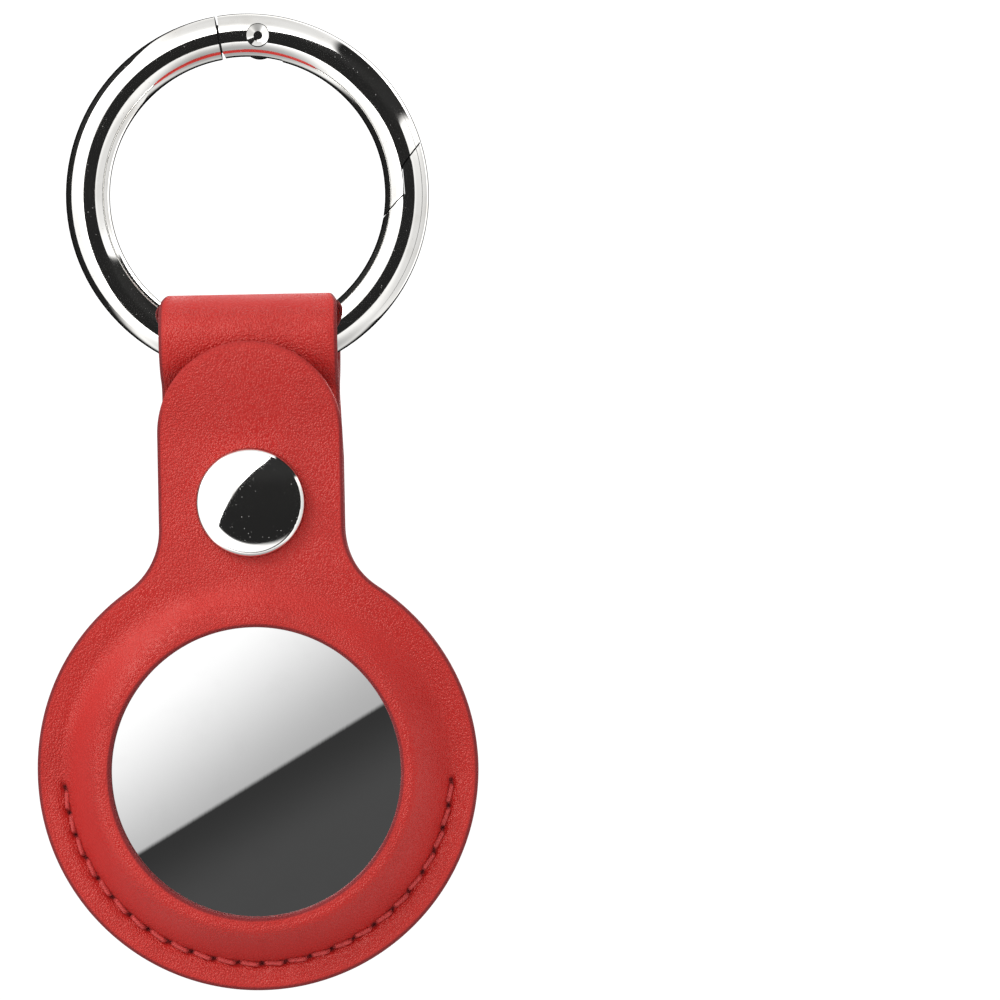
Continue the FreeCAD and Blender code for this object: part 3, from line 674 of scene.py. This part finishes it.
def leather_material():
    """Pebble grain with painted shade in its creases, smoother where the leather is stretched and darker at edges,
    with painted shade in the stitch holes.
    """
    n = Material("red_leather")
    warp = n.add("ShaderNodeTexNoise")
    warp.inputs["Scale"].default_value = WARP_SCALE
    n.link(n.place, warp.inputs["Vector"])
    shift = n.add("ShaderNodeVectorMath", operation="MULTIPLY_ADD")
    n.link(warp.outputs["Color"], shift.inputs[0])
    shift.inputs[1].default_value = (WARP, WARP, WARP)
    n.link(n.place, shift.inputs[2])
    place = shift.outputs["Vector"]
    pebble = n.span(n.cells(PEBBLES, place), *PEBBLE_SHAPE)
    small = n.cells(SMALL_PEBBLES, place)
    patches = n.noise(PATCHES, 3.0)
    clouds = n.noise(CLOUDS, 2.0)
    fine = n.noise(FINE_GRAIN, 2.0)
    stretch = n.attribute("stretch")
    edge = n.attribute("edge")
    height = n.plus(pebble, n.times(small, SMALL_SHARE))
    height = n.times(height, n.span(patches, *PATCH_HEIGHT))
    height = n.times(height, n.span(stretch, *STRETCHED_HEIGHT))
    grain = n.bump(height, PEBBLE_DEPTH, PEBBLE_FORCE)
    grain = n.bump(fine, FINE_DEPTH, FINE_FORCE, grain)
    colour = n.mix(n.span(clouds, *EVEN), RED_DEEP, RED_LIGHT)
    # Painted shade: the grain's creases are made darker
    colour = n.mix(n.span(pebble, *CREASE_SHADE), colour, RED_CREASE_SHADE)
    colour = n.mix(n.span(edge, *CUT), colour, RED_CUT)
    # Painted shade in the stitch holes
    colour = n.mix(n.span(edge, *HOLE_SHADE_SPAN), colour, RED_HOLE_SHADE)
    rough = n.span(patches, *LEATHER_ROUGH)
    rough = n.plus(rough, n.times(stretch, STRETCH_ROUGH))
    rough = n.plus(rough, n.times(edge, EDGE_ROUGH))
    return n.set(Base_Color=colour, Roughness=rough, Normal=grain, Specular_IOR_Level=0.44,
                 Specular_Tint=LEATHER_TINT, Sheen_Weight=0.03, Sheen_Roughness=0.5)


def thread_material():
    n = Material("red_thread")
    fibre = n.noise(FIBRES, 3.0, 0.6, n.stretched(FIBRE_LONG))
    colour = n.mix(n.span(fibre, *EVEN), THREAD_DEEP, THREAD_LIGHT)
    return n.set(Base_Color=colour, Roughness=n.span(fibre, *THREAD_ROUGH),
                 Normal=n.bump(fibre, FIBRE_DEPTH, FIBRE_FORCE), Specular_IOR_Level=0.4, Sheen_Weight=0.1)


def crown_normal(n, crown):
    """The faces' own normals round the crown of a dome, and the smooth ones elsewhere."""
    shape = n.add("ShaderNodeNewGeometry")
    flat = n.add("ShaderNodeVectorMath", operation="MULTIPLY")
    n.link(n.place, flat.inputs[0])
    flat.inputs[1].default_value = (1.0, 0.0, 1.0)
    reach = n.add("ShaderNodeVectorMath", operation="DISTANCE")
    n.link(flat.outputs["Vector"], reach.inputs[0])
    reach.inputs[1].default_value = crown
    pick = n.add("ShaderNodeMix", data_type="VECTOR")
    n.link(n.span(reach.outputs["Value"], *CROWN), pick.inputs[0])
    n.link(shape.outputs["Normal"], pick.inputs[4])
    n.link(shape.outputs["True Normal"], pick.inputs[5])
    return pick.outputs[1]


def metal_material(name, tint, dull, rough_low, rough_high, wave, scratch, crown=None):
    """Polished or drawn metal with a little haze, dust and wear."""
    n = Material(name)
    base = crown_normal(n, crown) if crown else None
    haze = n.noise(HAZE, 4.0)
    lines = n.noise(SCRATCHES, 3.0, 0.6, n.stretched(SCRATCH_LONG))
    cast = n.noise(CASTING, 2.0)
    dust = n.span(n.cells(DUST), *DUST_SPECK)
    dust = n.times(dust, n.span(n.noise(DUST_PATCHES, 2.0), *DUST_SPREAD))
    colour = n.mix(n.span(haze, *HAZE_TINT), tint, dull)
    colour = n.mix(dust, colour, DUST_COLOUR)
    normal = n.bump(cast, CAST_DEPTH * wave, CAST_FORCE, base)
    normal = n.bump(lines, SCRATCH_DEPTH, scratch, normal)
    rough = n.plus(n.span(haze, *HAZE_ROUGH, rough_low, rough_high), n.times(dust, DUST_ROUGH))
    return n.set(Base_Color=colour, Metallic=n.minus(1.0, dust), Roughness=rough, Normal=normal,
                 Specular_Tint=METAL_RIM_TINT)


def cover_material():
    """Mirror-polished steel with the faint wear of handling. Only a roughness of 0 gives singular rays, which the
    world's horizon is for."""
    n = Material("polished_cover")
    lines = n.noise(SCRATCHES, 3.0, 0.6, n.stretched(SCRATCH_LONG))
    colour = n.mix(n.span(n.noise(COVER_HAZE, 4.0), *HAZE_TINT), COVER_BRIGHT, COVER_DULL)
    return n.set(Base_Color=colour, Metallic=1.0, Roughness=0.0, Normal=n.bump(lines, POLISH_DEPTH, POLISH_FORCE))


def plastic_material(name, low, high, rough):
    n = Material(name)
    tone = n.noise(TONES, 3.0)
    skin = n.noise(SKIN, 3.0)
    colour = n.mix(n.span(tone, *EVEN), low, high)
    return n.set(Base_Color=colour, Roughness=n.span(skin, *USUAL, rough * SMOOTHER, rough * ROUGHER),
                 Normal=n.bump(skin, SKIN_DEPTH, SKIN_FORCE))


# Tint, duller tint, lowest and highest roughness, waviness, scratches, and the crown of a dome
METALS = {
    "ring_chrome": ((0.90, 0.89, 0.865), (0.80, 0.78, 0.745), 0.04, 0.09, 0.10, 0.10),
    "cap_chrome": ((0.94, 0.93, 0.91), (0.90, 0.88, 0.85), 0.03, 0.07, 0.04, 0.06, (0.0, 0.0, SNAP_Z * MM)),
    "spring_steel": ((0.62, 0.62, 0.64), (0.48, 0.48, 0.50), 0.22, 0.36, 0.05, 0.3),
    "snap_brass": ((0.80, 0.77, 0.70), (0.66, 0.62, 0.54), 0.18, 0.32, 0.05, 0.2),
    "cell_steel": ((0.68, 0.68, 0.66), (0.55, 0.55, 0.53), 0.2, 0.34, 0.05, 0.3),
    "coil_copper": ((0.72, 0.36, 0.20), (0.55, 0.25, 0.13), 0.25, 0.4, 0.05, 0.3),
}
# Darker and lighter colour, roughness
PLASTICS = {
    "white_shell": ((0.78, 0.78, 0.77), (0.85, 0.85, 0.84), 0.25),
    "board_green": ((0.02, 0.12, 0.05), (0.04, 0.19, 0.08), 0.4),
    "chip_black": ((0.02, 0.02, 0.02), (0.045, 0.045, 0.045), 0.5),
}
MATERIALS = {"red_leather": leather_material(), "red_thread": thread_material(), "polished_cover": cover_material()}
for name, values in METALS.items():
    MATERIALS[name] = metal_material(name, *values)
for name, values in PLASTICS.items():
    MATERIALS[name] = plastic_material(name, *values)
for part in frame["record"]["subparts"]:
    mesh = nodes[part["node"]].data
    mesh.materials.clear()
    mesh.materials.append(MATERIALS[part["material_slot"]])
for obj in (front_leather, back_leather):
    obj.data.materials.append(MATERIALS["red_leather"])
for obj in (needle, bobbin):
    obj.data.materials.append(MATERIALS["red_thread"])

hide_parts("front_panel", "front_flap")
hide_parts("back_panel")
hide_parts("needle_thread")
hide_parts("bobbin_thread")
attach(back_leather, "holder")
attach(needle, "holder")
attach(bobbin, "holder")
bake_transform(front_leather)

# Floor: pale, and out of what the part mirrors
FLOOR_HALF, FLOOR_Z = 0.9, -0.2
floor_mesh = bpy.data.meshes.new("floor")
floor_mesh.from_pydata([(x * FLOOR_HALF, y * FLOOR_HALF, FLOOR_Z) for x, y in ((-1, -1), (1, -1), (1, 1), (-1, 1))],
                       [], [(0, 1, 2, 3)])
floor = show("floor", floor_mesh)
pale = Material("pale_floor")
pale_colour = pale.mix(pale.noise(FLOOR_CLOUDS), FLOOR_DEEP, FLOOR_LIGHT)
floor_mesh.materials.append(pale.set(Base_Color=pale_colour, Roughness=0.8))
floor.visible_glossy = False
floor.visible_diffuse = False

# World: a studio drawn by the ray's direction, as slopes across and up that read alike from the front and the back
world = bpy.data.worlds.new("studio")
bpy.context.scene.world = world
world.use_nodes = True
world.node_tree.nodes.clear()
w = NodeTree(world.node_tree)
LEAST = 0.001
sight = w.add("ShaderNodeSeparateXYZ")
w.link(w.add("ShaderNodeTexCoord").outputs["Generated"], sight.inputs[0])
dx, dy, dz = sight.outputs
flat = w.larger(w.math("ABSOLUTE", dy), LEAST)
across = w.over(w.times(dx, w.times(w.math("SIGN", dy), -1.0)), flat)
upward = w.over(dz, flat)

# What polished metal mirrors: a white tent with a glow round its middle, dark on the right of a bowed line that
# leans, and a dark card at the upper right. Spans are given as in the materials
TENT_U, TENT_V = -0.23, 0.16
LINE_U, LINE_V, LINE_ENDS = 0.766, 0.643, (-1.0, 1.1)
BOW_BEND, BOW_LEAN, BOW_SHIFT = 0.139, 0.045, -0.049
SHARP = (-0.0006, 0.0006, 0.0, 1.0)
TENT_LIGHT, GLOW_IN, GLOW_OUT = 1.08, (0.07, 0.3, 0.0, 1.6), (0.7, 1.1, 1.0, 0.0)
DARK_U, DARK_V, DARK_RIM, DARK_LEVEL = 0.05, 0.12, (0.84, 0.91, 1.0, 0.0), 0.018
BEHIND, BEHIND_UP = (-0.1, 0.0, 0.0, 1.0), (-0.75, -0.5, 0.0, 1.0)
CARD_X, CARD_Z, CARD_WIDE = 0.69, 0.72, (0.945, 0.965, 0.0, 1.0)
CARD_FROM, CARD_BEHIND = (0.5, 0.6, 0.0, 1.0), (0.4, 0.6, 1.0, 0.0)
ROOF, ROOF_TOP, LEFT_WALL = (0.22, 0.45, 1.03, 1.6), (0.6, 0.95, 1.0, 0.5), (-0.7, -0.3, 0.4, 0.0)
FLANKS, FLANKS_LOW, FOOT = (0.62, 0.86, 0.0, 1.0), (-0.1, 0.7, 0.26, 0.0), (-0.95, -0.58, 0.4, 1.0)

du, dv = w.minus(across, TENT_U), w.minus(upward, TENT_V)
far = w.length(du, dv)
light = w.plus(w.times(w.span(far, *GLOW_IN), w.span(far, *GLOW_OUT)), TENT_LIGHT)
along = w.within(w.leaning(du, LINE_V, dv, -LINE_U), *LINE_ENDS)
bow = w.plus(w.times(along, w.minus(w.times(along, BOW_BEND), BOW_LEAN)), BOW_SHIFT)
dark = w.span(w.minus(w.leaning(du, LINE_U, dv, LINE_V), bow), *SHARP)
rim = w.span(w.length(w.minus(across, DARK_U), w.minus(upward, DARK_V)), *DARK_RIM)
behind = w.times(w.span(dy, *BEHIND), w.span(dz, *BEHIND_UP))
aside = w.length(dx, dz)
slanting = w.plus(w.times(dx, CARD_X), w.times(dz, CARD_Z))
card = w.span(w.over(slanting, w.larger(aside, LEAST)), *CARD_WIDE)
card = w.times(card, w.times(w.span(aside, *CARD_FROM), w.span(dy, *CARD_BEHIND)))
dark = w.larger(w.times(dark, w.larger(rim, behind)), card)
mirror = w.plus(w.times(w.minus(1.0, dark), light), w.times(dark, DARK_LEVEL))
above = w.plus(w.times(w.span(dz, *ROOF), w.span(dz, *ROOF_TOP)), w.span(dx, *LEFT_WALL))
flank = w.times(w.span(w.math("ABSOLUTE", dx), *FLANKS), w.span(dz, *FLANKS_LOW))
mirror = w.times(w.times(mirror, w.span(dz, *FOOT)), w.times(above, w.minus(1.0, flank)))

# What the flat mirror of the cover shows: a white sky over a dark ground, whose horizon leans in the middle
HORIZON_U, HORIZON_V, HORIZON_ENDS = -0.0518, -0.0612, (-0.037, 0.033)
HORIZON_WAY, HORIZON_SHIFT, SKY_WAY = (0.505, 0.863), 0.0022, (0.60, 0.80)
SKY, GROUND, GROUND_FAR = (-0.037, 0.0029, 1.11, 0.445), (0.0, 0.017, 0.033, 0.066), (0.05, 0.7, 0.0, 0.3)
hu = w.within(w.minus(across, HORIZON_U), *HORIZON_ENDS)
hv = w.minus(upward, HORIZON_V)
horizon = w.plus(w.leaning(hu, HORIZON_WAY[0], hv, HORIZON_WAY[1]), HORIZON_SHIFT)
under = w.span(horizon, *SHARP)
heaven = w.span(w.leaning(hu, SKY_WAY[0], hv, SKY_WAY[1]), *SKY)
ground = w.plus(w.span(horizon, *GROUND), w.span(horizon, *GROUND_FAR))
flat_mirror = w.either(under, ground, heaven)

# What lights the rest, and a white background for the camera
SOFT, SOFT_TOP = (-0.9, 0.3, 0.66, 1.20), (0.4, 1.0, 1.0, 0.5)
ray = w.add("ShaderNodeLightPath")
mirror = w.either(ray.outputs["Is Singular Ray"], flat_mirror, mirror)
soft = w.times(w.span(dz, *SOFT), w.span(dz, *SOFT_TOP))
level = w.either(ray.outputs["Is Glossy Ray"], mirror, soft)
sky = w.add("ShaderNodeBackground")
sky.inputs["Color"].default_value = (1.0, 1.0, 1.0, 1.0)
w.link(w.larger(level, ray.outputs["Is Camera Ray"]), sky.inputs["Strength"])
w.link(sky.outputs[0], w.add("ShaderNodeOutputWorld").inputs[0])

# Lamps, one for each side, and the camera
LAMP_AIM, LAMP_SIZE, LAMP_POWER = Vector((0.0, 0.0, -0.035)), 0.35, 2.0
VIEW_ANGLE, VIEW_TURN, VIEW_FROM = math.radians(12.35), math.radians(1.1), (0.02295, -0.42, -0.0277)
for name, place in (("key", (-0.45, -0.55, 0.45)), ("back_key", (0.45, 0.55, 0.45))):
    lamp_data = bpy.data.lights.new(name, "AREA")
    lamp_data.shape = "DISK"
    lamp_data.size = LAMP_SIZE
    lamp_data.energy = LAMP_POWER
    lamp = show(name, lamp_data)
    lamp.location = place
    lamp.rotation_euler = (LAMP_AIM - Vector(place)).to_track_quat("-Z", "Y").to_euler()

camera_data = bpy.data.cameras.new("camera")
camera_data.angle = VIEW_ANGLE
camera = show("camera", camera_data)
camera.matrix_world = (Matrix.Rotation(VIEW_TURN, 4, "Y") @ Matrix.Translation(VIEW_FROM)
                       @ Matrix.Rotation(math.radians(90), 4, "X"))
bpy.context.scene.camera = camera
bpy.context.scene.view_settings.view_transform = "Standard"
